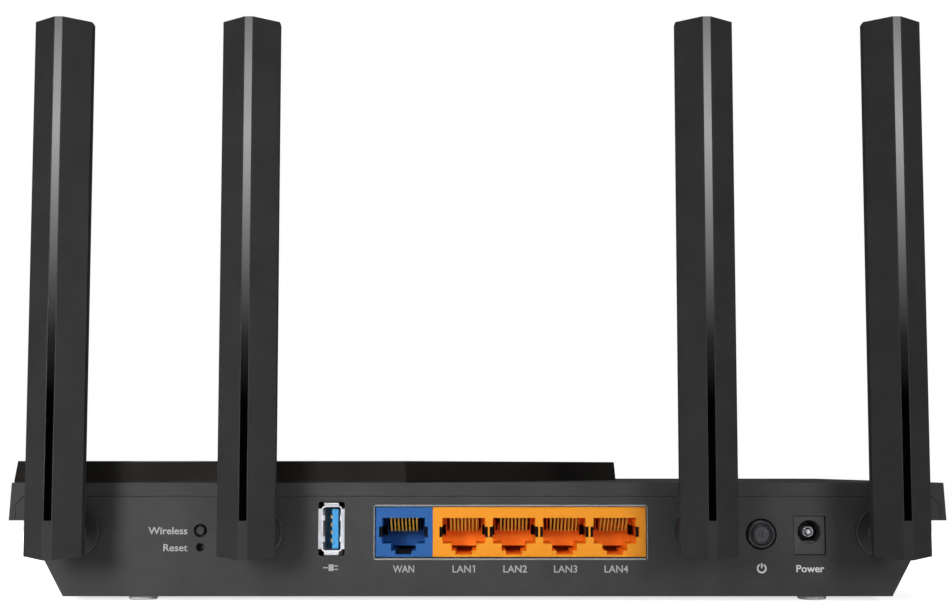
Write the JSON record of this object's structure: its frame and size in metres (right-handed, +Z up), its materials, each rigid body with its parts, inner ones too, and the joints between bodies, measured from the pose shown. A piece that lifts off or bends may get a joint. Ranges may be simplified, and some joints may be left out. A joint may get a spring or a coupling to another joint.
{
  "type": "wireless router",
  "caption": "Desktop wireless router with folding antennas, network sockets, usb socket, power inlet and push buttons on its rear panel.",
  "frame": {"origin": "on the table, under the middle of the whole object", "axes": "+Z up; the connector panel faces +Y and the status lights face -Y; X runs along the case"},
  "size_m": [0.2596, 0.158, 0.1564],
  "materials": {
    "case_plastic": "fine matte moulded texture",
    "antenna_plastic": "fine matte moulded texture",
    "gloss_black": "polished",
    "lens": "diffusing",
    "foot_rubber": "soft matte",
    "screw_steel": "zinc plated",
    "board_green": "solder mask",
    "chip_black": "moulded epoxy",
    "sink_aluminium": "extruded",
    "pad_grey": "soft",
    "tin_plate": "tin plated",
    "wan_blue": "moulded",
    "lan_orange": "moulded",
    "gold": "gold plated",
    "usb_blue": "moulded",
    "inlet_black": "moulded",
    "button_black": "satin",
    "pin_steel": "ground",
    "capacitor_sleeve": "sleeved",
    "lead_grey": "jacket",
    "led_white": "chip"
  },
  "bodies": {
    "case": {"bottom_case": "case_plastic", "top_cover": "case_plastic", "gloss_panel": "gloss_black", "rubber_feet": "foot_rubber", "case_screws": "screw_steel", "board_screws": "screw_steel", "light_guide": "lens", "status_leds": "led_white", "main_board": "board_green", "processor": "chip_black", "thermal_pad": "pad_grey", "heatsink": "sink_aluminium", "shield_cans": "tin_plate", "radio_chips": "chip_black", "line_transformers": "chip_black", "capacitors": "capacitor_sleeve", "wan_jack": "wan_blue", "wan_contacts": "gold", "lan_jacks": "lan_orange", "lan_contacts": "gold", "jack_shield": "tin_plate", "usb_shell": "tin_plate", "usb_tongue": "usb_blue", "usb_contacts": "gold", "power_inlet": "inlet_black", "power_inlet_pin": "pin_steel", "power_switch": "chip_black", "tact_switches": "chip_black", "antenna_leads": "lead_grey"},
    "power_button_body": {"power_button": "button_black"},
    "reset_button_body": {"reset_button": "button_black"},
    "wps_button_body": {"wps_button": "button_black"},
    "swivel_1": {"antenna_1_knuckle": "antenna_plastic", "antenna_1_clip": "pin_steel"},
    "blade_1": {"antenna_1_rear_shell": "antenna_plastic", "antenna_1_front_shell": "antenna_plastic", "antenna_1_strip": "gloss_black", "antenna_1_radiator": "board_green", "antenna_1_pin": "pin_steel"},
    "swivel_2": {"antenna_2_knuckle": "antenna_plastic", "antenna_2_clip": "pin_steel"},
    "blade_2": {"antenna_2_rear_shell": "antenna_plastic", "antenna_2_front_shell": "antenna_plastic", "antenna_2_strip": "gloss_black", "antenna_2_radiator": "board_green", "antenna_2_pin": "pin_steel"},
    "swivel_3": {"antenna_3_knuckle": "antenna_plastic", "antenna_3_clip": "pin_steel"},
    "blade_3": {"antenna_3_rear_shell": "antenna_plastic", "antenna_3_front_shell": "antenna_plastic", "antenna_3_strip": "gloss_black", "antenna_3_radiator": "board_green", "antenna_3_pin": "pin_steel"},
    "swivel_4": {"antenna_4_knuckle": "antenna_plastic", "antenna_4_clip": "pin_steel"},
    "blade_4": {"antenna_4_rear_shell": "antenna_plastic", "antenna_4_front_shell": "antenna_plastic", "antenna_4_strip": "gloss_black", "antenna_4_radiator": "board_green", "antenna_4_pin": "pin_steel"}
  },
  "joints": [
    {"name": "antenna_1_swivel", "type": "hinge", "parent": "case", "child": "swivel_1", "pos_m": [0.1113, 0.056, 0.01905], "axis": [0, 1, 0], "range_deg": [-12, 90]},
    {"name": "antenna_1_tilt", "type": "hinge", "parent": "swivel_1", "child": "blade_1", "pos_m": [0.1113, 0.0737, 0.01905], "axis": [-1, 0, 0], "range_deg": [0, 90]},
    {"name": "antenna_2_swivel", "type": "hinge", "parent": "case", "child": "swivel_2", "pos_m": [0.0608, 0.056, 0.01905], "axis": [0, 1, 0], "range_deg": [-45, 12]},
    {"name": "antenna_2_tilt", "type": "hinge", "parent": "swivel_2", "child": "blade_2", "pos_m": [0.0608, 0.0737, 0.01905], "axis": [-1, 0, 0], "range_deg": [0, 90]},
    {"name": "antenna_3_swivel", "type": "hinge", "parent": "case", "child": "swivel_3", "pos_m": [-0.0608, 0.056, 0.01905], "axis": [0, 1, 0], "range_deg": [-12, 45]},
    {"name": "antenna_3_tilt", "type": "hinge", "parent": "swivel_3", "child": "blade_3", "pos_m": [-0.0608, 0.0737, 0.01905], "axis": [-1, 0, 0], "range_deg": [0, 90]},
    {"name": "antenna_4_swivel", "type": "hinge", "parent": "case", "child": "swivel_4", "pos_m": [-0.1113, 0.056, 0.01905], "axis": [0, 1, 0], "range_deg": [-90, 12]},
    {"name": "antenna_4_tilt", "type": "hinge", "parent": "swivel_4", "child": "blade_4", "pos_m": [-0.1113, 0.0737, 0.01905], "axis": [-1, 0, 0], "range_deg": [0, 90]},
    {"name": "power_button_press", "type": "slide", "parent": "case", "child": "power_button_body", "axis": [0, -1, 0], "range_m": [0, 0.0018], "stiffness_N_per_m": 500, "springref_m": -0.0008},
    {"name": "wps_button_press", "type": "slide", "parent": "case", "child": "wps_button_body", "axis": [0, -1, 0], "range_m": [0, 0.0005], "stiffness_N_per_m": 900, "springref_m": -0.0004},
    {"name": "reset_button_press", "type": "slide", "parent": "case", "child": "reset_button_body", "axis": [0, -1, 0], "range_m": [0, 0.0005], "stiffness_N_per_m": 900, "springref_m": -0.0004}
  ]
}
